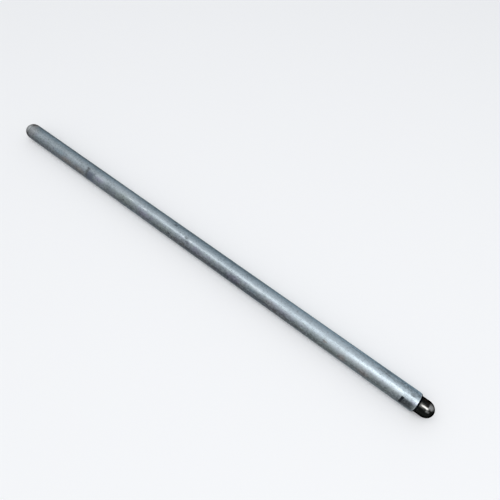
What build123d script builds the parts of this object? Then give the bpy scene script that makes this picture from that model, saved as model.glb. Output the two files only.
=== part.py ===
from build123d import *
import math
import os

# A hollow engine pushrod: a drawn light-alloy tube with a hardened steel tip pressed into each end.
# The rod lies along X, with the middle of its length at the origin and its rocker end at +X.
# Every piece is turned, so each is a half outline revolved about X. All sizes are in millimetres.

# Whole rod over the tops of its two tips, as they are before the oil holes are drilled
OVERALL_LENGTH = 278.0

# Tube
TUBE_DIAMETER = 9.525
TUBE_WALL = 1.65
TUBE_EDGE_BREAK = 0.15

# Reamed seats in the tube's ends, where the tips are pressed in
SEAT_DEPTH = 13.0
SEAT_REAM = 0.12
SEAT_MOUTH_CHAMFER = 0.35

# Shanks, the same on both tips; the gap stands for the press fit, all round
SHANK_LENGTH = 12.0
SHANK_GAP = 0.005
SHANK_LEAD_LENGTH = 1.0
SHANK_LEAD_INSET = 0.25
SHANK_ROOT_RADIUS = 0.2

# Rocker tip: a conical shoulder on the tube's end face, then a neck and ball of smaller diameter
BALL_DIAMETER = 7.94
BALL_CENTRE_REACH = 4.25
SHOULDER_INSET = 0.16
SHOULDER_LAND = 0.2
SHOULDER_CONE_LENGTH = 0.6
NECK_ROOT_RADIUS = 0.25

# Tappet tip: a short land and a dome, both flush with the tube
DOME_LAND = 0.75
DOME_EDGE_BREAK = 0.1

# Oil drilling, the same in both tips: a fine hole at the top and a wider one up the shank
OIL_HOLE_DIAMETER = 2.0
OIL_HOLE_COUNTERSINK = 0.2
SHANK_DRILL_DIAMETER = 3.2
SHANK_DRILL_DEPTH = 12.5
DRILL_POINT_ANGLE = 118.0

# Radii that several pieces share
tube_radius = TUBE_DIAMETER / 2
bore_radius = tube_radius - TUBE_WALL
seat_radius = bore_radius + SEAT_REAM
shank_radius = seat_radius - SHANK_GAP
ball_radius = BALL_DIAMETER / 2

# How far each tip stands out of the tube, and so where the tube's two end faces are
rocker_tip_height = BALL_CENTRE_REACH + ball_radius
tappet_tip_height = DOME_LAND + tube_radius
rocker_face_x = OVERALL_LENGTH / 2 - rocker_tip_height
tappet_face_x = tappet_tip_height - OVERALL_LENGTH / 2


def turned(outline):
    """Revolve a closed half outline, drawn above the X axis, into one solid."""
    return revolve(make_face(outline), Axis.X)


def rounded(outline_face, corner, radius):
    """Round the corner of a flat outline that lies at a given point."""
    vertex = outline_face.vertices().sort_by_distance(Vector(*corner))[0]
    return fillet(vertex, radius)


def tube_end(face_x, outward):
    """Give the outline of one end of the tube, from its outside round to its bore.

    outward is 1 at the rocker end and -1 at the tappet end.
    """
    seat_end_x = face_x - outward * SEAT_DEPTH
    return [
        (face_x - outward * TUBE_EDGE_BREAK, tube_radius),
        (face_x, tube_radius - TUBE_EDGE_BREAK),
        (face_x, seat_radius + SEAT_MOUTH_CHAMFER),
        (face_x - outward * SEAT_MOUTH_CHAMFER, seat_radius),
        (seat_end_x, seat_radius),
        (seat_end_x - outward * SEAT_REAM, bore_radius),
    ]


def build_tube():
    """Turn the tube: plain outside, with a reamed and chamfered seat at each end of its bore."""
    rocker_end = tube_end(rocker_face_x, 1)
    tappet_end = tube_end(tappet_face_x, -1)
    return turned(Polyline(rocker_end + tappet_end[::-1], close=True))


def shank_outline():
    """Give a tip's shank, from its inner end on the axis to its root on the seating plane."""
    return [
        (-SHANK_LENGTH, 0),
        (-SHANK_LENGTH, shank_radius - SHANK_LEAD_INSET),
        (SHANK_LEAD_LENGTH - SHANK_LENGTH, shank_radius),
        (0, shank_radius),
    ]


def tip_outline(head, centre_x, top_radius):
    """Draw a tip's half outline without its drilling: shank, head and round top.

    The tip seats on the plane x = 0. head is the outline from the shank's root to the widest
    circle of the round top, whose centre is at centre_x.
    """
    below = Polyline(shank_outline() + head)
    top = CenterArc((centre_x, 0), top_radius, 0, 90)
    axis = Line((centre_x + top_radius, 0), (-SHANK_LENGTH, 0))
    outline = make_face([*below.edges(), top, axis])
    return rounded(outline, (0, shank_radius), SHANK_ROOT_RADIUS)


def oil_drilling(top_x):
    """Make the space that the stepped oil drilling takes out of a tip whose top is at top_x."""
    hole_radius = OIL_HOLE_DIAMETER / 2
    drill_radius = SHANK_DRILL_DIAMETER / 2
    drill_end_x = SHANK_DRILL_DEPTH - SHANK_LENGTH
    point_length = (drill_radius - hole_radius) / math.tan(math.radians(DRILL_POINT_ANGLE / 2))
    mouth_x = top_x - OIL_HOLE_COUNTERSINK
    return turned(
        Polyline(
            (-SHANK_LENGTH, 0),
            (-SHANK_LENGTH, drill_radius),
            (drill_end_x, drill_radius),
            (drill_end_x + point_length, hole_radius),
            (mouth_x, hole_radius),
            (top_x, hole_radius + OIL_HOLE_COUNTERSINK),
            (top_x, 0),
            close=True,
        )
    )


def build_rocker_tip():
    """Turn and drill the ball tip, and seat it on the tube's rocker end."""
    shoulder_radius = tube_radius - SHOULDER_INSET
    neck_x = SHOULDER_LAND + SHOULDER_CONE_LENGTH
    head = [
        (0, shoulder_radius),
        (SHOULDER_LAND, shoulder_radius),
        (neck_x, ball_radius),
        (BALL_CENTRE_REACH, ball_radius),
    ]
    outline = tip_outline(head, BALL_CENTRE_REACH, ball_radius)
    outline = rounded(outline, (neck_x, ball_radius), NECK_ROOT_RADIUS)
    tip = revolve(outline, Axis.X) - oil_drilling(rocker_tip_height)
    return Pos(rocker_face_x, 0, 0) * tip


def build_tappet_tip():
    """Turn and drill the domed tip, and seat it on the tube's tappet end, pointing to -X."""
    head = [
        (0, tube_radius - DOME_EDGE_BREAK),
        (DOME_EDGE_BREAK, tube_radius),
        (DOME_LAND, tube_radius),
    ]
    outline = tip_outline(head, DOME_LAND, tube_radius)
    tip = revolve(outline, Axis.X) - oil_drilling(tappet_tip_height)
    return Pos(tappet_face_x, 0, 0) * Rot(0, 0, 180) * tip


pieces = {
    "tube": build_tube(),
    "rocker_tip": build_rocker_tip(),
    "tappet_tip": build_tappet_tip(),
}

os.makedirs("parts", exist_ok=True)
for name, piece in pieces.items():
    export_step(piece, f"parts/{name}.step")
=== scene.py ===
import logging
import math
from dataclasses import dataclass
from enum import Enum
from functools import reduce

import bpy
import numpy as np
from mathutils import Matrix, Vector


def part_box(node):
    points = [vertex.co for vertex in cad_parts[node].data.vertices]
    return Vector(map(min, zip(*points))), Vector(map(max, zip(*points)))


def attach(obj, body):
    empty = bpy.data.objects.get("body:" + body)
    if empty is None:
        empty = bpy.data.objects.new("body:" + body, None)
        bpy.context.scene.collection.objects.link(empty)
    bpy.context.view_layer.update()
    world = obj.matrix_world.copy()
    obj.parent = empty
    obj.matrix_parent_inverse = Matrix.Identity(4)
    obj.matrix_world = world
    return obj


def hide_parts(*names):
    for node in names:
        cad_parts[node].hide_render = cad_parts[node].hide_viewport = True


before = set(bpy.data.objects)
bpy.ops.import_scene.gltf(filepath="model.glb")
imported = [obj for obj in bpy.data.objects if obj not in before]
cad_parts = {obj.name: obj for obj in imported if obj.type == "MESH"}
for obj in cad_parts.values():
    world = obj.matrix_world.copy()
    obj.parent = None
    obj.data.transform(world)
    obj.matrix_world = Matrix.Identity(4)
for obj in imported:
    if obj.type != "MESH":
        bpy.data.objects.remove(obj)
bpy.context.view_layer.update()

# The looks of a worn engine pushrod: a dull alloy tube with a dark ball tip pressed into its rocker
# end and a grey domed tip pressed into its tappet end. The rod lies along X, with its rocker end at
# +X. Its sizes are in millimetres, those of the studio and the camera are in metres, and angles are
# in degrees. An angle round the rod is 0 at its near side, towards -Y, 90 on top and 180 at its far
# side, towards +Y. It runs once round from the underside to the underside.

log = logging.getLogger("pushrod")

MM = 0.001
TURN = 360.0
UNDERSIDE = -90.0
BODY = "root"

Colour = tuple[float, float, float]
Place = tuple[float, float, float]
Station = tuple[float, float]


class Signal:
    """The value of one shader socket, which can stand in a Python expression."""

    def __init__(self, graph: "ShaderGraph", socket: bpy.types.NodeSocket | None) -> None:
        """Wrap a node's output socket, or none where the node has no output."""
        self.graph = graph
        self.socket = socket

    def __add__(self, other: "Operand") -> "Signal":
        """Add a value."""
        return self.graph.maths("ADD", self, other)

    def __radd__(self, other: "Operand") -> "Signal":
        """Add this to a value."""
        return self.graph.maths("ADD", other, self)

    def __sub__(self, other: "Operand") -> "Signal":
        """Take a value away."""
        return self.graph.maths("SUBTRACT", self, other)

    def __rsub__(self, other: "Operand") -> "Signal":
        """Take this away from a value."""
        return self.graph.maths("SUBTRACT", other, self)

    def __mul__(self, other: "Operand") -> "Signal":
        """Multiply by a value."""
        return self.graph.maths("MULTIPLY", self, other)

    def __rmul__(self, other: "Operand") -> "Signal":
        """Multiply a value by this."""
        return self.graph.maths("MULTIPLY", other, self)

    def __neg__(self) -> "Signal":
        """Turn the sign round."""
        return self.graph.maths("MULTIPLY", self, -1.0)

    def __abs__(self) -> "Signal":
        """Drop the sign."""
        return self.graph.maths("ABSOLUTE", self)

    def root(self) -> "Signal":
        """Take the square root."""
        return self.graph.maths("SQRT", self)

    def or_more(self, other: "Operand") -> "Signal":
        """Give the larger of this and another value."""
        return self.graph.maths("MAXIMUM", self, other)

    def step(self, start: float, end: float) -> "Signal":
        """Turn this into a smooth step.

        Args:
            start: The value that gives 0.
            end: The value that gives 1, above or below the start.

        Returns:
            The step, from 0 to 1.
        """
        settings = {"interpolation_type": "SMOOTHSTEP", "clamp": True}
        sockets = {"Value": self, "From Min": start, "From Max": end, "To Min": 0.0, "To Max": 1.0}
        return self.graph.node("ShaderNodeMapRange", settings, sockets)


Operand = Signal | float
Coat = tuple[Signal, Colour | Signal]


class Blend(Enum):
    """How a colour acts on the one under it."""

    COVER = "MIX"
    TINT = "COLOR"


class ShaderGraph:
    """The nodes of one material or world."""

    def __init__(self, tree: bpy.types.NodeTree) -> None:
        """Empty a node tree and build in it."""
        tree.nodes.clear()
        self.tree = tree

    def node(
        self,
        kind: str,
        settings: dict[str, object] | None = None,
        sockets: dict[str | int, object] | None = None,
        output: str | int = 0,
    ) -> Signal:
        """Add a node.

        Args:
            kind: The node's type.
            settings: Its own settings, set first. One named stops is the stops of its ramp.
            sockets: Values or signals for its inputs, by name, identifier or index.
            output: Which output to give.

        Returns:
            That output.
        """
        node = self.tree.nodes.new(kind)
        for name, value in (settings or {}).items():
            if name == "stops":
                self._set_stops(node.color_ramp, value)
            else:
                setattr(node, name, value)
        for key, value in (sockets or {}).items():
            self._feed(self._find(node.inputs, key), value)
        return Signal(self, self._find(node.outputs, output) if node.outputs else None)

    def sibling(self, signal: Signal, output: str | int) -> Signal:
        """Give another output of the node that a signal comes from."""
        return Signal(self, self._find(signal.socket.node.outputs, output))

    def maths(self, operation: str, *operands: Operand) -> Signal:
        """Add a Math node.

        Args:
            operation: What it does.
            operands: Its operands, in order.

        Returns:
            The result.
        """
        return self.node("ShaderNodeMath", {"operation": operation}, dict(enumerate(operands)))

    def coats(self, base: object, coats: list[Coat], blend: Blend = Blend.COVER) -> Signal:
        """Lay coats of colour over a base, the first one undermost.

        Args:
            base: A colour or its signal.
            coats: The share of each coat, with its colour or the colour's signal.
            blend: How a coat acts on what is under it.

        Returns:
            The colour on top.
        """
        settings = {"data_type": "RGBA", "blend_type": blend.value}
        for share, colour in coats:
            sockets = {"Factor_Float": share, "A_Color": base, "B_Color": colour}
            base = self.node("ShaderNodeMix", settings, sockets, "Result_Color")
        return base

    def noise(self, place: Signal, scale: float, detail: float, rough: float) -> Signal:
        """Read a noise.

        Args:
            place: Where it is read.
            scale: How many waves it has to a millimetre.
            detail: How many finer layers it has.
            rough: How strong those layers are.

        Returns:
            A value about 0.5, from 0 to 1.
        """
        sockets = {"Vector": place, "Scale": scale, "Detail": detail, "Roughness": rough}
        return self.node("ShaderNodeTexNoise", {"noise_dimensions": "3D"}, sockets)

    def specks(self, place: Signal, scale: float, size: float) -> Signal:
        """Scatter round specks.

        Args:
            place: Where the pattern is read.
            scale: How many specks it has to a millimetre.
            size: A speck's radius, as a share of the distance between two specks.

        Returns:
            1 in the middle of a speck and 0 outside it.
        """
        settings = {"voronoi_dimensions": "3D", "feature": "F1"}
        sockets = {"Vector": place, "Scale": scale}
        cells = self.node("ShaderNodeTexVoronoi", settings, sockets, "Distance")
        return cells.step(size, size * 0.4)

    def bump(self, height: Signal, depth: float, under: Signal | None = None) -> Signal:
        """Turn a height into a normal.

        Args:
            height: The height.
            depth: How many millimetres a height of 1 stands for.
            under: The normal of a coarser layer below this one.

        Returns:
            The normal.
        """
        sockets = {"Strength": 1.0, "Distance": depth * MM, "Height": height}
        if under is not None:
            sockets["Normal"] = under
        return self.node("ShaderNodeBump", None, sockets)

    @staticmethod
    def _find(sockets: bpy.types.bpy_prop_collection, key: str | int) -> bpy.types.NodeSocket:
        """Find a socket.

        Args:
            sockets: The sockets of one side of a node.
            key: The socket's index, identifier or name.

        Returns:
            The socket.
        """
        if isinstance(key, int):
            return sockets[key]
        for socket in sockets:
            if key in (socket.identifier, socket.name):
                return socket
        raise KeyError(key)

    def _feed(self, socket: bpy.types.NodeSocket, value: object) -> None:
        """Set an input socket or link it.

        Args:
            socket: The socket.
            value: A value for it, or the signal that it is linked to.
        """
        if isinstance(value, Signal):
            self.tree.links.new(value.socket, socket)
        elif socket.type == "RGBA":
            socket.default_value = (*value, 1.0)
        else:
            socket.default_value = value

    @staticmethod
    def _set_stops(ramp: bpy.types.ColorRamp, stops: tuple[tuple[float, Colour], ...]) -> None:
        """Set the stops of a colour ramp.

        Args:
            ramp: The ramp.
            stops: The place and the colour of each stop.
        """
        while len(ramp.elements) < len(stops):
            ramp.elements.new(1.0)
        for element, (position, colour) in zip(ramp.elements, stops, strict=True):
            element.position = position
            element.color = (*colour, 1.0)


class SurfaceGraph(ShaderGraph):
    """The nodes of one surface, which knows where on the rod it is, in millimetres."""

    hair_stretch: float = 0.10
    hair_spread: float = 1.6
    hair_width: float = 0.016

    def __init__(self, name: str) -> None:
        """Start an empty material.

        Args:
            name: The material's name.
        """
        self.material = bpy.data.materials.new(name)
        self.material.use_nodes = True
        super().__init__(self.material.node_tree)
        here = self.node("ShaderNodeTexCoord", None, None, "Object")
        split = self.node("ShaderNodeSeparateXYZ", None, {0: here})
        self.x = split * (1 / MM)
        self.y = self.sibling(split, "Y") * (1 / MM)
        self.z = self.sibling(split, "Z") * (1 / MM)
        self.radius = (self.y * self.y + self.z * self.z).root()
        round_rod = self.maths("ARCTAN2", self.z, -self.y) * math.degrees(1.0)
        self.angle = self.maths("WRAP", round_rod, UNDERSIDE + TURN, UNDERSIDE)
        self.clear_of_seam = self.angle.step(265.0, 215.0)

    def far_side(self, start: float, end: float) -> Signal:
        """Step up from one angle to a larger one, and down again before the rod's underside.

        Args:
            start: The angle under which it is 0.
            end: The angle over which it is 1.

        Returns:
            The step, which is 0 on both sides of the underside, so that no seam shows there.
        """
        return self.angle.step(start, end) * self.clear_of_seam

    def place(self, along: float, shift: float = 0.0) -> Signal:
        """Give the place on the surface for a pattern to be read at.

        Args:
            along: How fast the pattern runs along the rod. Under 1 stretches it.
            shift: How far the pattern is moved along the rod, to tell two patterns apart.

        Returns:
            The place, in millimetres.
        """
        sockets = {0: self.x * along + shift, 1: self.y, 2: self.z}
        return self.node("ShaderNodeCombineXYZ", None, sockets)

    def hairs(self, radius: float, lean: float, shift: float) -> Signal:
        """Draw fine scratches, which are long and nearly straight.

        Args:
            radius: The radius of the surface.
            lean: The angle between the scratches and the rod's length.
            shift: How far the pattern is moved, to tell two patterns apart.

        Returns:
            1 on a scratch and 0 off it.
        """
        turn = math.radians(lean)
        arc = self.angle * (radius * math.radians(1.0))
        with_it = self.x * math.cos(turn) + arc * math.sin(turn)
        across_it = arc * math.cos(turn) - self.x * math.sin(turn)
        along = with_it * self.hair_stretch + shift
        sockets = {0: along, 1: across_it * self.hair_spread, 2: shift}
        place = self.node("ShaderNodeCombineXYZ", None, sockets)
        gate = self.noise(self.place(0.6, shift), 0.5, 2.0, 0.5).step(0.46, 0.60)
        return abs(self.noise(place, 0.8, 1.0, 0.4) - 0.5).step(self.hair_width, 0.0) * gate

    def dress(self, sockets: dict[str, object]) -> bpy.types.Material:
        """End the nodes in one shader.

        Args:
            sockets: Values or signals for the shader's inputs, by name.

        Returns:
            The material.
        """
        shader = self.node("ShaderNodeBsdfPrincipled", None, sockets)
        self.node("ShaderNodeOutputMaterial", None, {"Surface": shader})
        return self.material


@dataclass(frozen=True)
class Dent:
    """One shallow dent in the outside of a piece."""

    x: float
    angle: float
    length: float
    width: float
    depth: float


@dataclass(frozen=True)
class Handling:
    """The dents that a piece has picked up from handling, which a seed draws."""

    seed: int
    count: int
    deepest: float
    smallest: float
    largest: float
    longest: float = 2.2
    shallowest: float = 0.3

    def draw(self, low: float, high: float) -> list[Dent]:
        """Draw the dents.

        Args:
            low: The low end of the stretch that they are on.
            high: Its high end.

        Returns:
            The dents.
        """
        dice = np.random.default_rng(self.seed)
        found = []
        for _ in range(self.count):
            size = dice.uniform(self.smallest, self.largest)
            found.append(
                Dent(
                    x=dice.uniform(low, high),
                    angle=dice.uniform(UNDERSIDE, UNDERSIDE + TURN),
                    length=size * dice.uniform(1.0, self.longest),
                    width=size,
                    depth=self.deepest * dice.uniform(self.shallowest, 1.0) * size / self.largest,
                )
            )
        return found


@dataclass(frozen=True)
class Corner:
    """One corner of a half outline, and the radius that its edge is broken to."""

    x: float
    r: float
    broken: float = 0.0


class HalfOutline:
    """A closed outline on one side of the rod's axis, which a lathe turns into a piece."""

    arc_step: float = 3.0
    corner_steps: int = 4
    # How near the largest radius a run lies where it counts as the outside of the piece
    flush: float = 0.001

    def __init__(self, corners: list[Corner]) -> None:
        """Take the corners in order round the outline."""
        self.corners = corners

    @classmethod
    def arc(cls, centre_x: float, radius: float, start: float, end: float) -> list[Corner]:
        """Give the corners of an arc that is centred on the axis.

        Args:
            centre_x: Where its centre is.
            radius: Its radius.
            start: The angle from +X that it starts at.
            end: The angle from +X that it ends at.

        Returns:
            The corners, with both ends.
        """
        count = max(2, round(abs(end - start) / cls.arc_step))
        angles = [math.radians(start + (end - start) * k / count) for k in range(count + 1)]
        return [Corner(centre_x + radius * math.cos(a), radius * math.sin(a)) for a in angles]

    def stations(self, longest: float) -> list[Station]:
        """Break the corners and divide the long runs.

        Args:
            longest: The longest run that is left whole, on the outside of the piece.

        Returns:
            The places (x, r) that the outline goes through.
        """
        outside = max(corner.r for corner in self.corners)
        rounded = []
        for k, corner in enumerate(self.corners):
            before = self.corners[k - 1]
            after = self.corners[(k + 1) % len(self.corners)]
            rounded.extend(self._broken(before, corner, after))
        found = []
        for k, (x, r) in enumerate(rounded):
            next_x, next_r = rounded[(k + 1) % len(rounded)]
            on_outside = min(r, next_r) > outside - self.flush
            parts = max(1, math.ceil(abs(next_x - x) / longest)) if on_outside else 1
            found.extend((x + (next_x - x) * j / parts, r) for j in range(parts))
        return found

    def _broken(self, before: Corner, corner: Corner, after: Corner) -> list[Station]:
        """Give the stations of one corner, which are a small arc where its edge is broken.

        Args:
            before: The corner before it.
            corner: The corner.
            after: The corner after it.

        Returns:
            The stations.
        """
        here = Vector((corner.x, corner.r))
        if not corner.broken:
            return [tuple(here)]
        back = (Vector((before.x, before.r)) - here).normalized()
        ahead = (Vector((after.x, after.r)) - here).normalized()
        half = back.angle(ahead) / 2
        reach = corner.broken / math.tan(half)
        centre = here + (back + ahead).normalized() * (corner.broken / math.sin(half))
        first = here + back * reach - centre
        last = here + ahead * reach - centre
        shares = [k / self.corner_steps for k in range(self.corner_steps + 1)]
        return [tuple(centre + first.slerp(last, share) * corner.broken) for share in shares]


class Lathe:
    """Turns half outlines into meshes, and dents their outside."""

    sharp_angle: float = 28.0
    # The share of the largest radius over which a point can be dented
    outside_share: float = 0.9

    def __init__(self, segments: int) -> None:
        """Set how many segments a turn has. A multiple of 4 keeps the full width each way."""
        self.segments = segments

    def turn(self, name: str, stations: list[Station], dents: list[Dent]) -> bpy.types.Object:
        """Turn an outline about X into a closed mesh.

        Args:
            name: The name of the piece.
            stations: The outline's places (x, r), in millimetres.
            dents: The dents in its outside, which only take metal away.

        Returns:
            The piece, in metres and in its place.
        """
        outline = np.array(stations)
        rings, segments = len(outline), self.segments
        x = np.repeat(outline[:, 0:1], segments, 1)
        r = np.repeat(outline[:, 1:2], segments, 1)
        angle = np.repeat(np.arange(segments)[None] * (TURN / segments) + UNDERSIDE, rings, 0)
        r = r - self._sink(dents, x, r, angle)
        turn = np.radians(angle)
        points = np.stack([x, -r * np.cos(turn), r * np.sin(turn)], -1).reshape(-1, 3) * MM
        ring, segment = np.meshgrid(np.arange(rings), np.arange(segments), indexing="ij")
        next_ring = (ring + 1) % rings
        next_segment = (segment + 1) % segments
        corners = [
            ring * segments + segment,
            next_ring * segments + segment,
            next_ring * segments + next_segment,
            ring * segments + next_segment,
        ]
        faces = np.stack(corners, -1).reshape(-1, 4)
        mesh = bpy.data.meshes.new(name)
        mesh.from_pydata(points.tolist(), [], faces.tolist())
        mesh.validate()
        if self._volume(points, faces) < 0:
            mesh.flip_normals()
        mesh.shade_smooth()
        mesh.set_sharp_from_angle(angle=math.radians(self.sharp_angle))
        piece = bpy.data.objects.new(name, mesh)
        bpy.context.scene.collection.objects.link(piece)
        return piece

    def _sink(self, dents: list[Dent], x: np.ndarray, r: np.ndarray, angle: np.ndarray) -> np.ndarray:
        """Give how far the dents sink each point of the outside.

        Args:
            dents: The dents.
            x: The points' places along the rod.
            r: Their radii.
            angle: Their angles round the rod.

        Returns:
            The depth at each point, 0 off the outside.
        """
        depth = np.zeros_like(x)
        outside = r > r.max() * self.outside_share
        for dent in dents:
            turned = (angle - dent.angle + TURN / 2) % TURN - TURN / 2
            across = np.radians(turned) * r
            reach = (2 * (x - dent.x) / dent.length) ** 2 + (2 * across / dent.width) ** 2
            bowl = np.where(reach < 1, (1 - reach) ** 2, 0.0)
            depth = np.maximum(depth, dent.depth * bowl)
        return np.where(outside, depth, 0.0)

    @staticmethod
    def _volume(points: np.ndarray, faces: np.ndarray) -> float:
        """Give six times the signed volume of a closed mesh of quads, under 0 if it is inside out."""
        a, b, c, d = (points[faces[:, k]] for k in range(4))
        return float((np.cross(a, b) * c + np.cross(a, c) * d).sum())


class RodEnd(Enum):
    """One end of the rod, with the way that it points along X."""

    ROCKER = 1
    TAPPET = -1


@dataclass(frozen=True)
class RodSizes:
    """The sizes that the pieces share. The tube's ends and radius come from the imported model."""

    tube_low: float
    tube_high: float
    tube_radius: float
    wall: float = 1.65
    ream: float = 0.12
    shank_length: float = 12.0
    shank_gap: float = 0.005
    shank_edge: float = 0.1
    lead_length: float = 1.0
    lead_inset: float = 0.25
    lead_round: float = 0.3
    root_round: float = 0.2
    hole_radius: float = 1.0
    hole_sink: float = 0.2
    drill_radius: float = 1.6
    drill_depth: float = 12.5
    drill_point: float = 118.0
    drill_edge: float = 0.05

    @classmethod
    def from_frame(cls) -> "RodSizes":
        """Read the tube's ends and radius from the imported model."""
        low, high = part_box("tube")
        return cls(low.x / MM, high.x / MM, high.y / MM)

    @property
    def bore_radius(self) -> float:
        """Give the radius of the tube's bore."""
        return self.tube_radius - self.wall

    @property
    def seat_radius(self) -> float:
        """Give the radius that the bore is reamed to at each end."""
        return self.bore_radius + self.ream

    @property
    def shank_radius(self) -> float:
        """Give the radius of the shanks in their seats."""
        return self.seat_radius - self.shank_gap

    def face(self, end: RodEnd) -> float:
        """Give where the tube's face is at one end."""
        return self.tube_high if end is RodEnd.ROCKER else self.tube_low

    def shank(self) -> list[Corner]:
        """Give a tip's shank, with the tube's face at x = 0.

        Returns:
            The corners, from the shank's inner end to its root.
        """
        return [
            Corner(-self.shank_length, self.shank_radius - self.lead_inset, self.shank_edge),
            Corner(self.lead_length - self.shank_length, self.shank_radius, self.lead_round),
            Corner(0.0, self.shank_radius, self.root_round),
        ]

    def drilling(self, top: float) -> list[Corner]:
        """Give a tip's oil drilling, with the tube's face at x = 0.

        Args:
            top: Where the tip's top would be without the drilling.

        Returns:
            The corners, from just inside its mouth to the shank's inner end.
        """
        drill_end = self.drill_depth - self.shank_length
        half_point = math.radians(self.drill_point / 2)
        point_length = (self.drill_radius - self.hole_radius) / math.tan(half_point)
        return [
            Corner(top - self.hole_sink, self.hole_radius),
            Corner(drill_end + point_length, self.hole_radius),
            Corner(drill_end, self.drill_radius),
            Corner(-self.shank_length, self.drill_radius, self.drill_edge),
        ]

    def mouth_angle(self, top_radius: float) -> float:
        """Give the angle from the axis at which a round top meets its countersunk oil hole."""
        lean = (self.hole_radius + self.hole_sink) / top_radius - 1
        return 45.0 + math.degrees(math.asin(lean / math.sqrt(2)))


class TubeSurface(SurfaceGraph):
    """The tube's surface, and where the metal on it is dulled, pitted, scratched, rubbed, covered or
    darkened with painted shade.
    """

    broad_depth: float = 0.030
    fine_depth: float = 0.009
    rub_start: float = 0.45
    rub_full: float = 0.05

    def __init__(self, sizes: RodSizes) -> None:
        """Read the patterns that the colour, the roughness and the relief share.

        Args:
            sizes: The rod's sizes.
        """
        super().__init__("tube_alloy")
        self.sizes = sizes
        self.to_tappet = self.x.step(-30.0, -115.0)
        self.to_rocker = self.x.step(55.0, 120.0)
        self.clouds = self.noise(self.place(0.22), 0.16, 3.0, 0.55)
        self.streaks = self.noise(self.place(0.035, 40.0), 1.5, 4.0, 0.62)
        self.mottle = self.noise(self.place(0.55, 90.0), 0.9, 5.0, 0.66)
        self.fleck = self.noise(self.place(0.80, 33.0), 1.25, 5.0, 0.78)
        self.grain = self.noise(self.place(0.5, 15.0), 5.0, 2.0, 0.6)
        self.drawn = self.noise(self.place(0.018, 500.0), 5.0, 3.0, 0.6)
        self.wander = self.noise(self.place(1.0, 11.0), 1.4, 3.0, 0.6) * 2.0 - 1.0
        dullness = self.clouds * 0.5 + self.streaks * 0.3 + self.mottle * 0.35 + self.to_tappet * 0.14
        self.dulled = dullness.step(0.44, 0.80)
        self.pits = self.specks(self.place(0.8, 7.0), 0.85, 0.27) * self.mottle.step(0.42, 0.58)
        pitted = (self.streaks + self.to_rocker * 0.14).step(0.44, 0.60)
        self.fine_pits = self.specks(self.place(0.7, 70.0), 2.2, 0.32) * pitted
        self.scratches = self._scratches()
        self.ends = self._rubbed_ends()

    def rocker_blotches(self) -> Signal:
        """Mask the dark blotches over the seat at the rocker end, between the tube's top and far side.

        Returns:
            1 in a blotch and 0 outside it.
        """
        blotches = self.noise(self.place(0.7, 200.0), 0.9, 5.0, 0.95).step(0.505, 0.545)
        along = self.x.step(98.0, 116.0)
        across = self.angle.step(92.0, 106.0) * self.angle.step(152.0, 128.0)
        return blotches * along * across

    def painted_flank_shade(self) -> Signal:
        """Mask the painted shade on the rod's two sides, which is deepest about its middle.

        Returns:
            How much of the metal the painted shade hides at each place.
        """
        thick = self.x.step(-75.0, -5.0) * (self.x + self.angle * 0.4).step(112.0, 78.0)
        height = self.z - self.y * 0.15 - thick * 0.36
        height = height + (self.mottle - 0.5) * 2.2 + (self.clouds - 0.5) * 1.6
        flanks = height.step(4.75, 2.3) * (1.0 - height.step(0.8, -3.0) * 0.6)
        middle = self.x.step(-75.0, -5.0) * self.x.step(100.0, 62.0)
        upper = self.x.step(-40.0, -75.0) * 0.11 - self.x.step(-45.0, -20.0) * 0.10
        upper = upper - self.x.step(35.0, 75.0) * 0.16
        cover = 0.76 + middle * 0.15 + upper * self.far_side(88.0, 120.0)
        cover = cover - self.far_side(135.0, 180.0) * 0.28
        thin_places = self.fleck.step(0.50, 0.66) * (self.to_rocker * 0.34 + 0.12)
        return flanks * cover * (1.0 - thin_places)

    def seat_band(self) -> Signal:
        """Mask the dark mark near the rocker end, blackest at its inner edge and fading outwards.

        Returns:
            How much of the metal the mark hides at each place.
        """
        start = 123.9
        middle = 31.5
        ragged = (self.noise(self.place(1.0, 5.0), 1.6, 4.0, 0.7) - 0.5) * 1.2
        along = self.x - start + ragged * 0.35
        arc = (self.angle - middle) * (self.sizes.tube_radius * math.radians(1.0))
        across = abs(arc + ragged * 0.5)
        bar = along.step(-0.15, 0.05) * along.step(1.30, 0.95) * across.step(2.15, 1.85)
        fade = along.step(0.0, 0.3) * along.step(7.8, 4.0) * across.step(2.30, 1.30)
        return bar.or_more(fade * (0.76 + ragged * 0.75))

    def relief(self) -> Signal:
        """Raise the surface: broadly uneven, and over that its drawn lines, pits and scratches.

        Returns:
            The normal.
        """
        uneven = self.bump(self.clouds + self.mottle * 0.55, self.broad_depth)
        fine = self.streaks * 0.6 + self.grain * 0.35 + self.fleck * 0.9 + self.drawn * 0.35
        fine = fine - self.pits * 1.6 - self.fine_pits * 0.5 - self.scratches * 0.6
        return self.bump(fine, self.fine_depth, uneven)

    def _scratches(self) -> Signal:
        """Draw hair scratches, most of them along the tube.

        Returns:
            1 on a scratch and 0 off it.
        """
        radius = self.sizes.tube_radius
        along = self.hairs(radius, 2.0, 25.0)
        slanted = self.hairs(radius, -16.0, 90.0)
        across = self.hairs(radius, 72.0, 160.0)
        return along.or_more(slanted * 0.8).or_more(across * 0.6)

    def _rubbed_ends(self) -> Signal:
        """Mask the rubbed edges at the tube's two ends.

        Returns:
            How bright the metal is rubbed at each place.
        """
        low = self.sizes.tube_low
        high = self.sizes.tube_high
        low_end = self.x.step(low + self.rub_start, low + self.rub_full)
        high_end = self.x.step(high - self.rub_start, high - self.rub_full)
        return (low_end * 0.3).or_more(high_end)


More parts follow.
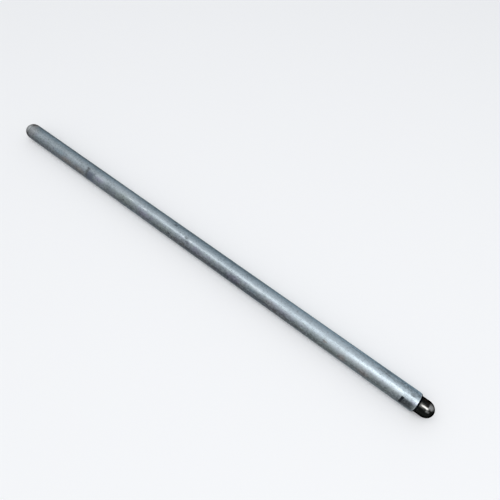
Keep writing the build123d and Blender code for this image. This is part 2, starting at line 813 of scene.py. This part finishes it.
class MarkKind(Enum):
    """What a mark is made of, with the colour that it has on the metal. Some kinds also stand for
    painted shade or painted sheen.
    """

    VARNISH = (0.085, 0.088, 0.070)
    BLUE_FILM_AND_SHADE = (0.105, 0.121, 0.158)
    BLUE_CAST = (0.250, 0.333, 0.390)
    VIOLET_CAST = (0.230, 0.225, 0.290)
    GREEN_CAST = (0.270, 0.310, 0.280)
    BROWN_CAST = (0.270, 0.236, 0.214)
    RED_CAST = (0.330, 0.275, 0.262)
    GRIME_AND_SHADE = (0.030, 0.034, 0.040)
    SOOT = (0.009, 0.011, 0.014)
    RUST_BLOOM = (0.210, 0.178, 0.158)
    PAINTED_SHEEN = (0.800, 0.850, 0.880)


@dataclass(frozen=True)
class Mark:
    """One mark on the tube: its middle, its length, its width, and how far it covers the metal.

    Ragged is how far its edge wanders, and soft how far it fades, as shares of half its size.
    """

    x: float
    angle: float
    length: float
    width: float
    cover: float
    square: bool = False
    ragged: float = 0.5
    soft: float = 0.8

    def mask(self, surface: TubeSurface) -> Signal:
        """Draw the mark.

        Args:
            surface: The tube's surface.

        Returns:
            How much of the metal the mark covers at each place.
        """
        degree = surface.sizes.tube_radius * math.radians(1.0)
        along = (surface.x - self.x) * (2.0 / self.length)
        across = (surface.angle - self.angle) * (2.0 * degree / self.width)
        if self.square:
            reach = abs(along).or_more(abs(across))
        else:
            reach = (along * along + across * across).root()
        edge = reach + surface.wander * self.ragged
        return edge.step(1.0 + self.soft, 1.0 - self.soft) * self.cover


class MarkGroup:
    """The marks of one kind on the tube, which are laid on together."""

    def __init__(self, kind: MarkKind, *marks: Mark) -> None:
        """Take the marks."""
        self.kind = kind
        self.marks = marks

    def coat(self, surface: TubeSurface) -> Coat:
        """Give how much of the metal the marks cover at each place, and their colour."""
        masks = [mark.mask(surface) for mark in self.marks]
        return reduce(Signal.or_more, masks), self.kind.value


@dataclass(frozen=True)
class DrawnAlloy:
    """The tube's finish: drawn light alloy, dulled and mottled by use, most at its tappet end."""

    clean: Colour = (0.520, 0.592, 0.632)
    dull: Colour = (0.350, 0.400, 0.426)
    chalky: Colour = (0.640, 0.690, 0.715)
    # The next three colours paint shade on the sides: the dark one, which pits and blotches also use; a
    # painted warm reflection; and thinner flecks of the shade.
    dark_grime_and_shade: Colour = (0.034, 0.042, 0.050)
    warm_painted_reflection: Colour = (0.054, 0.046, 0.042)
    thin_painted_shade: Colour = (0.150, 0.163, 0.176)
    black: Colour = (0.0, 0.0, 0.0)
    tint: Colour = (0.50, 0.60, 0.66)
    specular: float = 0.3
    roughness: float = 0.36
    # Casts tint the metal and leave it as light as it is, and marks hide it
    casts: tuple[MarkGroup, ...] = (
        MarkGroup(
            MarkKind.BROWN_CAST,
            Mark(-131.5, 62.0, 8.0, 9.0, 0.30),
            Mark(-98.5, 28.0, 12.0, 3.4, 0.60),
            Mark(-86.0, 26.0, 9.0, 3.4, 0.50),
            Mark(53.0, 44.0, 6.0, 2.6, 0.32),
        ),
        MarkGroup(
            MarkKind.BLUE_CAST,
            Mark(-104.0, 50.0, 8.0, 3.2, 0.45),
            Mark(42.5, 46.0, 5.0, 1.8, 0.55),
            Mark(84.0, 50.0, 62.0, 5.0, 0.20),
        ),
        MarkGroup(
            MarkKind.VIOLET_CAST,
            Mark(-69.5, 57.0, 6.0, 2.6, 0.55),
            Mark(-33.0, 36.0, 8.0, 3.6, 0.60),
            Mark(6.0, 36.0, 8.0, 3.2, 0.50),
            Mark(31.0, 34.0, 7.0, 3.4, 0.65),
            Mark(61.0, 40.0, 9.0, 3.2, 0.45),
        ),
        MarkGroup(
            MarkKind.GREEN_CAST,
            Mark(-48.0, 46.0, 14.0, 5.0, 0.55),
            Mark(-18.0, 32.0, 9.0, 3.4, 0.50),
            Mark(98.0, 24.0, 60.0, 5.0, 0.45),
            Mark(90.5, 24.0, 4.0, 3.0, 0.35),
        ),
        MarkGroup(
            MarkKind.RED_CAST,
            Mark(94.5, 26.0, 3.4, 3.4, 0.60),
            Mark(105.8, 26.0, 5.0, 3.4, 0.50),
        ),
    )
    marks: tuple[MarkGroup, ...] = (
        # The long faint marks along angles 75 to 79 are painted shade that dims the highlight band; the
        # others are bluish stains.
        MarkGroup(
            MarkKind.BLUE_FILM_AND_SHADE,
            Mark(-77.2, 40.0, 7.0, 5.6, 0.80, square=True, ragged=0.7, soft=0.5),
            Mark(101.0, 79.0, 26.0, 4.2, 0.11),
            Mark(1.0, 75.0, 24.0, 5.0, 0.12),
            Mark(28.0, 77.0, 22.0, 4.4, 0.10),
            Mark(72.0, 77.0, 34.0, 4.4, 0.17),
            Mark(-47.0, 75.0, 24.0, 4.4, 0.15),
            Mark(122.0, 30.0, 3.6, 4.0, 0.26),
            Mark(126.5, 64.0, 5.0, 2.6, 0.20),
        ),
        MarkGroup(
            MarkKind.VARNISH,
            Mark(-79.7, 46.0, 1.6, 6.2, 0.42, square=True, ragged=0.9, soft=0.3),
        ),
        # The long faint marks at x 107, 96, 45, 24, 3, -53, -61.5, -85.5, -117, -127, -129 and -129.5
        # are painted shade low on the sides and over the tappet end; the rest are grime.
        MarkGroup(
            MarkKind.GRIME_AND_SHADE,
            Mark(-79.8, 80.0, 2.4, 1.1, 0.48, ragged=0.9, soft=0.3),
            Mark(107.0, 28.0, 42.0, 4.2, 0.31),
            Mark(3.0, 31.0, 15.0, 4.2, 0.14),
            Mark(45.0, 32.0, 24.0, 4.2, 0.17),
            Mark(-129.5, 80.0, 9.0, 18.0, 0.12, square=True),
            Mark(-61.5, 51.0, 8.0, 3.8, 0.36),
            Mark(96.0, 37.0, 34.0, 2.0, 0.26),
            Mark(-26.0, 58.0, 12.0, 2.4, 0.18),
            Mark(-127.0, 30.0, 12.0, 5.0, 0.16),
            Mark(-129.0, 131.0, 14.0, 4.0, 0.16),
            Mark(-78.0, 29.0, 6.0, 3.4, 0.24),
            Mark(-78.0, 131.0, 6.0, 3.4, 0.20),
            Mark(-85.5, 40.0, 10.0, 4.6, 0.15),
            Mark(-53.0, 38.0, 32.0, 5.0, 0.22),
            Mark(24.0, 34.0, 18.0, 4.2, 0.28),
            Mark(-117.0, 40.0, 16.0, 4.6, 0.15),
            Mark(-48.8, 41.0, 1.5, 0.9, 0.80, soft=0.3),
            Mark(-13.6, 35.0, 1.6, 0.7, 0.70, ragged=0.8, soft=0.3),
            Mark(-12.6, 110.0, 2.0, 1.5, 0.55, ragged=0.8, soft=0.3),
            Mark(-3.0, 79.0, 3.0, 1.3, 0.45, ragged=0.9, soft=0.3),
            Mark(-1.4, 58.0, 2.6, 1.3, 0.45, ragged=0.9, soft=0.3),
            Mark(83.8, 54.5, 1.3, 0.6, 0.80, ragged=0.8, soft=0.3),
            Mark(99.0, 121.0, 7.0, 0.5, 0.60, ragged=0.9, soft=0.3),
            Mark(114.0, 133.0, 10.0, 2.6, 0.30, ragged=0.9, soft=0.6),
            Mark(114.0, 106.0, 6.0, 0.9, 0.45, ragged=0.9, soft=0.3),
            Mark(121.0, 108.0, 5.0, 1.0, 0.24, ragged=0.9, soft=0.3),
            Mark(127.6, 93.0, 2.4, 1.5, 0.45, ragged=0.9, soft=0.3),
            Mark(128.3, 44.0, 1.7, 1.7, 0.25, ragged=0.9, soft=0.3),
        ),
        # These marks are painted sheen: they brighten the highlight band and the metal above and below
        # it.
        MarkGroup(
            MarkKind.PAINTED_SHEEN,
            Mark(98.0, 57.0, 34.0, 2.6, 0.26),
            Mark(82.0, 104.0, 96.0, 3.4, 0.20),
            Mark(43.5, 75.0, 6.0, 2.4, 0.22),
            Mark(-68.0, 75.0, 7.0, 2.4, 0.18),
            Mark(66.0, 59.0, 24.0, 1.6, 0.20),
            Mark(-50.0, 101.0, 22.0, 3.4, 0.13),
            Mark(-22.0, 101.0, 9.0, 3.4, 0.13),
            Mark(-5.2, 74.0, 1.4, 0.5, 0.60, ragged=0.8, soft=0.3),
            Mark(0.2, 74.0, 1.6, 0.6, 0.60, ragged=0.8, soft=0.3),
            Mark(-33.5, 75.0, 3.6, 0.7, 0.50, ragged=0.8, soft=0.3),
            Mark(-44.0, 75.5, 5.0, 0.6, 0.45, ragged=0.9, soft=0.3),
            Mark(120.8, 60.0, 6.0, 2.4, 0.22),
        ),
        MarkGroup(
            MarkKind.RUST_BLOOM,
            Mark(84.6, 50.5, 2.0, 1.1, 0.60, ragged=0.8, soft=0.3),
        ),
        MarkGroup(
            MarkKind.BROWN_CAST,
            Mark(-132.4, 118.0, 3.4, 3.4, 0.52, ragged=0.7, soft=0.6),
        ),
    )

    def material(self, sizes: RodSizes) -> bpy.types.Material:
        """Build the finish.

        Args:
            sizes: The rod's sizes.

        Returns:
            The material.
        """
        surface = TubeSurface(sizes)
        flanks = surface.painted_flank_shade()
        casts = [group.coat(surface) for group in self.casts]
        marks = [group.coat(surface) for group in self.marks]
        marks.append((surface.seat_band(), MarkKind.SOOT.value))
        # The sides are darkened with painted shade, then tinted and marked.
        colour = surface.coats(self._metal(surface), [(flanks, self._painted_shade_colour(surface))])
        colour = surface.coats(colour, self._tinges(surface) + casts, Blend.TINT)
        colour = surface.coats(colour, marks + [(surface.ends * 0.6, self.chalky)])
        covered = reduce(Signal.or_more, [share for share, _ in marks], flanks * 0.6)
        return surface.dress(
            {
                "Base Color": colour,
                "Metallic": 1.0 - covered * 0.5,
                "Roughness": self._rough(surface, covered),
                "Specular IOR Level": self.specular,
                "Specular Tint": self.tint,
                "Normal": surface.relief(),
            }
        )

    def _metal(self, surface: TubeSurface) -> Signal:
        """Colour the metal, from clean to dull and chalky, with its flecks, pits and scratches.

        Args:
            surface: The tube's surface.

        Returns:
            The colour.
        """
        chalk = surface.mottle.step(0.54, 0.70) * surface.clouds.step(0.40, 0.62)
        coats = [
            (surface.dulled, self.dull),
            (chalk * 0.45, self.chalky),
            (surface.fleck.step(0.50, 0.33) * 0.50, self.black),
            (surface.fleck.step(0.53, 0.68) * 0.45, self.chalky),
            (surface.pits * 0.65 + surface.fine_pits * 0.60, self.dark_grime_and_shade),
            (surface.rocker_blotches() * 0.74, self.dark_grime_and_shade),
            (surface.drawn.step(0.62, 0.36) * 0.10, self.dull),
            (surface.scratches * 0.35, self.chalky),
        ]
        return surface.coats(self.clean, coats)

    def _painted_shade_colour(self, surface: TubeSurface) -> Signal:
        """Colour the painted shade on the sides: dark, with a painted warm reflection in places low on
        the near side, and thinner in flecks.

        Args:
            surface: The tube's surface.

        Returns:
            The colour.
        """
        warmth = surface.noise(surface.place(0.5, 300.0), 0.16, 5.0, 0.72).step(0.44, 0.58)
        lower = 1.0 - surface.far_side(45.0, 75.0)
        thin = surface.fleck.step(0.47, 0.63) * 0.8
        return surface.coats(self.dark_grime_and_shade, [(warmth * lower, self.warm_painted_reflection), (thin, self.thin_painted_shade)])

    @staticmethod
    def _tinges(surface: TubeSurface) -> list[Coat]:
        """Tint the metal violet and green in flecks low on the near side, and paint a bluish reflection
        tint over its top and far side.

        Args:
            surface: The tube's surface.

        Returns:
            The tints.
        """
        tinge = surface.noise(surface.place(0.7, 400.0), 0.55, 4.0, 0.7)
        lower = 1.0 - surface.far_side(62.0, 80.0)
        violet = tinge.step(0.52, 0.64) * lower * 0.45
        green = tinge.step(0.47, 0.36) * lower * 0.40
        # This tint over the top and far side is a painted reflection.
        painted_blue_reflection = surface.far_side(84.0, 125.0) * 0.68
        painted_blue_reflection = painted_blue_reflection + surface.x.step(-40.0, 50.0) * surface.far_side(72.0, 95.0) * 0.30
        painted_blue_reflection = painted_blue_reflection - surface.far_side(132.0, 175.0) * 0.64
        return [
            (violet, MarkKind.VIOLET_CAST.value),
            (green, MarkKind.GREEN_CAST.value),
            (painted_blue_reflection, MarkKind.BLUE_CAST.value),
        ]

    def _rough(self, surface: TubeSurface, covered: Signal) -> Signal:
        """Work out the roughness, which is least where the ends are rubbed.

        Args:
            surface: The tube's surface.
            covered: How much of the metal is covered at each place.

        Returns:
            The roughness.
        """
        rough = self.roughness + surface.dulled * 0.13 + surface.to_tappet * 0.06 + covered * 0.10
        rough = rough + (surface.grain - 0.5) * 0.12 + (surface.fleck - 0.5) * 0.30
        return rough + (surface.drawn - 0.5) * 0.20 - surface.ends * 0.1


@dataclass(frozen=True)
class RoundTop:
    """The ball or dome that a tip ends in: where its middle is along the rod, and its radius."""

    middle: float
    radius: float


class TipSurface(SurfaceGraph):
    """A tip's surface, with the distances past the tube's face and past its round top's middle."""

    rim_start: float = 0.22
    rim_full: float = -0.02
    hairs_end: float = 1.6

    def __init__(self, name: str, face: float, top: RoundTop) -> None:
        """Start an empty material for a tip.

        Args:
            name: The material's name.
            face: Where the tip seats on the tube.
            top: The tip's ball or dome.
        """
        super().__init__(name)
        self.top = top
        self.past_face = self.x - face
        self.past_middle = self.x - top.middle

    def hole(self, radius: float) -> Signal:
        """Mask the oil hole and the rim round its mouth."""
        return self.radius.step(radius + self.rim_start, radius + self.rim_full)

    def crossed_hairs(self, first_lean: float, second_lean: float, full: float) -> Signal:
        """Draw two sets of hair scratches that cross, and fade out towards the oil hole.

        Args:
            first_lean: The angle between the first set and the rod's length.
            second_lean: The angle between the second set and the rod's length.
            full: The distance from the axis over which they have their full strength.

        Returns:
            1 on a scratch and 0 off it.
        """
        first = self.hairs(self.top.radius, first_lean, 8.0)
        second = self.hairs(self.top.radius, second_lean, 60.0)
        return first.or_more(second * 0.6) * self.radius.step(self.hairs_end, full)


@dataclass(frozen=True)
class BurnishedSteel:
    """The rocker tip's finish: oil-black hardened steel, greyer in patches on its ball, with a painted
    highlight along its neck and a painted brown reflection on its top.
    """

    black: Colour = (0.012, 0.013, 0.012)
    worn: Colour = (0.440, 0.440, 0.432)
    # rubbed is the colour of the painted highlight along the neck.
    rubbed: Colour = (0.430, 0.418, 0.398)
    soot: Colour = (0.006, 0.008, 0.012)
    # brown is a painted reflection over the top and far side.
    brown: Colour = (0.030, 0.021, 0.016)
    tint: Colour = (0.15, 0.15, 0.15)
    roughness: float = 0.30
    depth: float = 0.004

    def material(self, face: float, ball: RoundTop, sizes: RodSizes) -> bpy.types.Material:
        """Build the finish.

        Args:
            face: Where the tip seats on the tube.
            ball: The tip's ball.
            sizes: The rod's sizes.

        Returns:
            The material.
        """
        surface = TipSurface("rocker_tip_steel", face, ball)
        clouds = surface.noise(surface.place(0.8, 5.0), 0.55, 4.0, 0.6)
        grain = surface.noise(surface.place(1.0, 12.0), 4.5, 3.0, 0.6)
        turning = surface.noise(surface.place(9.0, 30.0), 0.55, 2.0, 0.6)
        patch = self._grey_ball_patches(surface, clouds)
        specks = surface.specks(surface.place(1.0, 3.0), 1.8, 0.28) * grain.step(0.42, 0.60)
        soot = surface.past_face.step(0.90, 0.62).or_more(surface.hole(sizes.hole_radius))
        scratches = surface.crossed_hairs(84.0, 24.0, 3.2)
        coats = [
            # Brown over the top and far side is a painted reflection.
            (clouds.step(0.44, 0.62) * surface.far_side(60.0, 95.0) * 0.8, self.brown),
            (patch * 0.85, self.worn),
            (clouds.step(0.60, 0.74) * 0.15, self.worn),
            # The painted highlight along the top of the neck.
            (self._painted_highlight_streak(surface, clouds), self.rubbed),
            (specks * 0.4, self.soot),
            (soot * 0.9, self.soot),
            (scratches * 0.10, self.worn),
        ]
        rough = self.roughness + patch * 0.12 + soot * 0.20 + (grain - 0.5) * 0.14 + specks * 0.10
        height = turning * 0.6 + grain * 0.5 - specks * 0.8 - scratches * 0.6
        return surface.dress(
            {
                "Base Color": surface.coats(self.black, coats),
                "Metallic": 1.0,
                "Roughness": rough,
                "Specular Tint": self.tint,
                "Normal": surface.bump(height, self.depth),
            }
        )

    @staticmethod
    def _grey_ball_patches(surface: TipSurface, clouds: Signal) -> Signal:
        """Mask the two lighter grey patches on the ball.

        Args:
            surface: The tip's surface.
            clouds: The pattern that bends the patches' edges.

        Returns:
            How much of the black turns grey at each place.
        """
        past = surface.past_middle
        edge = surface.angle + (clouds - 0.5) * 30.0
        high = past.step(-0.2, 0.7) * past.step(3.0, 1.6)
        high = high * edge.step(76.0, 90.0) * edge.step(130.0, 104.0)
        low = past.step(-0.5, 0.2) * past.step(1.7, 0.9)
        low = low * edge.step(46.0, 56.0) * edge.step(74.0, 62.0)
        return (high * clouds.step(0.26, 0.46)).or_more(low * 0.40)

    @staticmethod
    def _painted_highlight_streak(surface: TipSurface, clouds: Signal) -> Signal:
        """Mask the painted highlight: a bright streak along the top of the neck, with a faint painted
        glow round it.

        Args:
            surface: The tip's surface.
            clouds: The pattern that breaks the streak's edges.

        Returns:
            How much of the black the painted highlight replaces at each place.
        """
        past = surface.past_face
        across = abs(surface.angle - 77.0 + (clouds - 0.5) * 7.0)
        core = across.step(10.0, 1.0) * past.step(0.8, 2.4) * past.step(4.9, 4.1)
        halo = across.step(24.0, 6.0) * past.step(0.5, 1.2) * past.step(4.0, 2.4)
        return core.or_more(halo * 0.13)


@dataclass(frozen=True)
class DullSteel:
    """The tappet tip's finish: steel gone dull and warm grey, smoother on the crown of its dome, with
    painted shade over the dome's sides and far side.
    """

    grey: Colour = (0.500, 0.516, 0.518)
    dark: Colour = (0.170, 0.166, 0.162)
    brown: Colour = (0.200, 0.172, 0.158)
    # soot is also the colour of the painted shade on the dome.
    soot: Colour = (0.020, 0.020, 0.020)
    tint: Colour = (0.15, 0.15, 0.15)
    specular: float = 0.2
    metallic: float = 0.85
    roughness: float = 0.46
    depth: float = 0.005

    def material(self, face: float, dome: RoundTop, sizes: RodSizes) -> bpy.types.Material:
        """Build the finish.

        Args:
            face: Where the tip seats on the tube.
            dome: The tip's dome.
            sizes: The rod's sizes.

        Returns:
            The material.
        """
        surface = TipSurface("tappet_tip_steel", face, dome)
        clouds = surface.noise(surface.place(1.0, 5.0), 0.40, 4.0, 0.6)
        grain = surface.noise(surface.place(1.0, 12.0), 4.0, 3.0, 0.6)
        turning = surface.noise(surface.place(8.0, 30.0), 0.5, 2.0, 0.6)
        crown = surface.past_middle.step(-2.6, -4.2)
        smudge = (surface.angle + (clouds - 0.5) * 60.0).step(98.0, 118.0)
        specks = surface.specks(surface.place(1.0, 3.0), 1.5, 0.30) * grain.step(0.44, 0.60)
        soot = surface.past_face.step(-0.25, -0.05).or_more(surface.hole(sizes.hole_radius))
        scratches = surface.crossed_hairs(86.0, -30.0, 3.4)
        coats = [
            (clouds.step(0.46, 0.68) * 0.4, self.dark),
            (surface.past_middle.step(-1.4, -3.6) * 0.9, self.dark),
            (smudge * surface.angle.step(190.0, 150.0) * 0.75, self.brown),
            (self._painted_dome_shade(surface, clouds), self.soot),
            (specks * 0.45, self.soot),
            (soot * 0.55, self.soot),
            (scratches * 0.18, self.grey),
        ]
        rough = self.roughness + grain * 0.12 + soot * 0.20 + clouds * 0.10 - crown * 0.14
        height = turning * 0.5 + grain * 0.6 - specks * 0.9 - scratches * 0.5
        return surface.dress(
            {
                "Base Color": surface.coats(self.grey, coats),
                "Metallic": self.metallic,
                "Roughness": rough,
                "Specular IOR Level": self.specular,
                "Specular Tint": self.tint,
                "Normal": surface.bump(height, self.depth),
            }
        )

    @staticmethod
    def _painted_dome_shade(surface: TipSurface, clouds: Signal) -> Signal:
        """Mask the painted shade on the dome's two sides and over its top and far side.

        Args:
            surface: The tip's surface.
            clouds: The pattern that bends the film's edge.

        Returns:
            How much of the steel the painted shade hides at each place.
        """
        cover = 0.84 - surface.far_side(135.0, 170.0) * 0.40
        flank = (surface.z + (clouds - 0.5) * 2.0).step(4.75, 2.2) * cover
        return flank.or_more(surface.far_side(82.0, 106.0) * 0.46)


@dataclass
class TubeBody:
    """The hollow tube, with a reamed and chamfered seat at each end of its bore."""

    sizes: RodSizes
    finish: DrawnAlloy
    seat_depth: float = 13.0
    mouth_chamfer: float = 0.35
    edge_break: float = 0.15
    edge_round: float = 0.06
    ring_step: float = 0.9
    segments: int = 96
    dents: Handling = Handling(seed=11, count=46, deepest=0.07, smallest=1.6, largest=4.5)
    dents_inset: float = 6.0
    nicks: Handling = Handling(seed=23, count=7, deepest=0.10, smallest=0.5, largest=1.2)
    nicks_reach: float = 0.3

    def build(self) -> bpy.types.Object:
        """Turn the tube, dent it and dress it.

        Returns:
            The piece.
        """
        sizes = self.sizes
        corners = self.end(RodEnd.ROCKER) + self.end(RodEnd.TAPPET)[::-1]
        stations = HalfOutline(corners).stations(self.ring_step)
        dents = self.dents.draw(sizes.tube_low + self.dents_inset, sizes.tube_high - self.dents_inset)
        dents += self.nicks.draw(sizes.tube_high - self.nicks_reach, sizes.tube_high)
        piece = Lathe(self.segments).turn("tube_drawn_alloy", stations, dents)
        piece.data.materials.append(self.finish.material(sizes))
        return piece

    def end(self, end: RodEnd) -> list[Corner]:
        """Give one end of the tube, from its outside round to its bore.

        Args:
            end: Which end.

        Returns:
            The corners.
        """
        sizes = self.sizes
        face = sizes.face(end)
        outward = end.value
        seat_end = face - outward * self.seat_depth
        return [
            Corner(face - outward * self.edge_break, sizes.tube_radius, self.edge_round),
            Corner(face, sizes.tube_radius - self.edge_break, self.edge_round),
            Corner(face, sizes.seat_radius + self.mouth_chamfer, self.edge_round),
            Corner(face - outward * self.mouth_chamfer, sizes.seat_radius, self.edge_round),
            Corner(seat_end, sizes.seat_radius),
            Corner(seat_end - outward * sizes.ream, sizes.bore_radius),
        ]


@dataclass
class PressedTip:
    """A turned tip: a shank in the tube's seat, a head on the tube's face and a drilled round top."""

    sizes: RodSizes
    finish: BurnishedSteel | DullSteel
    ring_step: float = 0.5
    segments: int = 128

    def turn(
        self, name: str, end: RodEnd, head: list[Corner], reach: float, radius: float
    ) -> bpy.types.Object:
        """Turn the tip on its end of the tube and dress it.

        Args:
            name: The name of the piece.
            end: The end of the rod that it is on.
            head: Its corners from the shank's root to the round top, with the tube's face at x = 0.
            reach: How far the middle of the round top stands out from that face.
            radius: The radius of the round top.

        Returns:
            The piece.
        """
        sizes = self.sizes
        face = sizes.face(end)
        arc = HalfOutline.arc(reach, radius, 90.0, sizes.mouth_angle(radius))
        outline = HalfOutline(sizes.shank() + head + arc + sizes.drilling(reach + radius))
        stations = [(face + end.value * x, r) for x, r in outline.stations(self.ring_step)]
        piece = Lathe(self.segments).turn(name, stations, [])
        top = RoundTop(face + end.value * reach, radius)
        piece.data.materials.append(self.finish.material(face, top, sizes))
        return piece


@dataclass
class RockerTip(PressedTip):
    """The ball tip: a conical shoulder on the tube's end face, and a ball as wide as its neck."""

    ball_radius: float = 3.97
    ball_reach: float = 4.25
    shoulder_inset: float = 0.16
    shoulder_land: float = 0.2
    cone_length: float = 0.6
    neck_round: float = 0.25
    edge_round: float = 0.05

    def build(self) -> bpy.types.Object:
        """Turn the tip on the tube's rocker end and dress it.

        Returns:
            The piece.
        """
        shoulder = self.sizes.tube_radius - self.shoulder_inset
        head = [
            Corner(0.0, shoulder, self.edge_round),
            Corner(self.shoulder_land, shoulder, self.edge_round),
            Corner(self.shoulder_land + self.cone_length, self.ball_radius, self.neck_round),
        ]
        return self.turn("rocker_tip_burnished", RodEnd.ROCKER, head, self.ball_reach, self.ball_radius)


@dataclass
class TappetTip(PressedTip):
    """The domed tip: a short land and a dome, both flush with the tube."""

    land: float = 0.75
    edge_break: float = 0.1
    edge_round: float = 0.04

    def build(self) -> bpy.types.Object:
        """Turn the tip on the tube's tappet end and dress it.

        Returns:
            The piece.
        """
        radius = self.sizes.tube_radius
        head = [
            Corner(0.0, radius - self.edge_break, self.edge_round),
            Corner(self.edge_break, radius, self.edge_round),
        ]
        return self.turn("tappet_tip_dulled", RodEnd.TAPPET, head, self.land, radius)


@dataclass(frozen=True)
class Lamp:
    """A soft lamp that hangs over the rod and faces it."""

    name: str
    middle: float
    lean: float
    height: float
    length: float
    width: float
    radiance: float

    def build(self) -> None:
        """Hang the lamp, in metres. Its lean is from upright, and towards +Y above 0."""
        area = self.length * self.width
        data = bpy.data.lights.new(self.name, "AREA")
        data.shape = "RECTANGLE"
        data.size = self.length
        data.size_y = self.width
        data.energy = self.radiance * area * math.pi
        lamp = bpy.data.objects.new(self.name, data)
        lean = math.radians(self.lean)
        lamp.location = (self.middle, self.height * math.sin(lean), self.height * math.cos(lean))
        lamp.rotation_euler = (-lean, 0.0, 0.0)
        bpy.context.scene.collection.objects.link(lamp)


@dataclass(frozen=True)
class Studio:
    """A pale floor under the rod, a soft sky and the lamps."""

    floor_level: float
    floor_radius: float = 6.0
    floor_sides: int = 96
    floor_colour: Colour = (0.93, 0.93, 0.93)
    lamps: tuple[Lamp, ...] = (
        Lamp("strip", middle=-0.21, lean=-10.0, height=0.9, length=0.94, width=0.26, radiance=1.8),
        Lamp("near_softbox", middle=0.42, lean=-13.0, height=0.9, length=0.40, width=0.80, radiance=2.2),
    )
    sky: tuple[tuple[float, Colour], ...] = (
        (0.0, (0.47, 0.48, 0.49)),
        (0.4, (0.54, 0.55, 0.57)),
        (0.85, (0.69, 0.71, 0.74)),
        (1.0, (0.98, 1.00, 1.03)),
    )

    def build(self) -> None:
        """Lay the floor, light the sky and hang the lamps."""
        self._lay_floor()
        self._light_sky()
        for lamp in self.lamps:
            lamp.build()
            log.info("lamp %s", lamp.name)

    def _lay_floor(self) -> None:
        """Lay a round floor at the level that the rod lies on."""
        sides = self.floor_sides
        radius = self.floor_radius
        turns = [math.tau * k / sides for k in range(sides)]
        rim = [(radius * math.cos(turn), radius * math.sin(turn), 0.0) for turn in turns]
        mesh = bpy.data.meshes.new("floor")
        mesh.from_pydata(rim, [], [list(range(sides))])
        floor = bpy.data.objects.new("floor", mesh)
        floor.location.z = self.floor_level
        bpy.context.scene.collection.objects.link(floor)
        graph = SurfaceGraph("floor_board")
        sockets = {"Base Color": self.floor_colour, "Roughness": 0.8, "Specular IOR Level": 0.2}
        mesh.materials.append(graph.dress(sockets))

    def _light_sky(self) -> None:
        """Light the sky evenly round, dimmer at the horizon than overhead."""
        world = bpy.data.worlds.new("sky")
        world.use_nodes = True
        bpy.context.scene.world = world
        graph = ShaderGraph(world.node_tree)
        way = graph.node("ShaderNodeTexCoord", None, None, "Generated")
        height = graph.node("ShaderNodeSeparateXYZ", None, {0: way}, "Z")
        sky = graph.node("ShaderNodeValToRGB", {"stops": self.sky}, {0: height})
        light = graph.node("ShaderNodeBackground", None, {"Color": sky, "Strength": 1.0})
        graph.node("ShaderNodeOutputWorld", None, {"Surface": light})


@dataclass(frozen=True)
class PhotoCamera:
    """A camera close over the rocker end, where the photograph was taken from, in metres."""

    place: Place = (0.08860, -0.06491, 0.18585)
    aim: Place = (0.02470, 0.01789, -0.00476)
    lens: float = 28.69
    sensor_width: float = 36.0
    clip_start: float = 0.005

    def build(self) -> None:
        """Set the camera up."""
        data = bpy.data.cameras.new("camera")
        data.lens = self.lens
        data.sensor_width = self.sensor_width
        data.clip_start = self.clip_start
        camera = bpy.data.objects.new("camera", data)
        camera.location = self.place
        way = Vector(self.aim) - Vector(self.place)
        camera.rotation_euler = way.to_track_quat("-Z", "Y").to_euler()
        bpy.context.scene.collection.objects.link(camera)
        bpy.context.scene.camera = camera


def main() -> None:
    """Build the rod's pieces, the studio and the camera."""
    logging.basicConfig(level=logging.INFO)
    bpy.context.scene.view_settings.view_transform = "Standard"
    sizes = RodSizes.from_frame()
    parts = {
        "tube": (TubeBody(sizes, DrawnAlloy()), "tube_alloy"),
        "rocker_tip": (RockerTip(sizes, BurnishedSteel()), "rocker_tip_steel"),
        "tappet_tip": (TappetTip(sizes, DullSteel()), "tappet_tip_steel"),
    }
    for node, (part, slot) in parts.items():
        piece = part.build()
        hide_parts(node)
        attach(piece, BODY)
        log.info("%s has %d faces", piece.name, len(piece.data.polygons))
    Studio(floor_level=-sizes.tube_radius * MM).build()
    PhotoCamera().build()


if __name__ == "__main__":
    main()
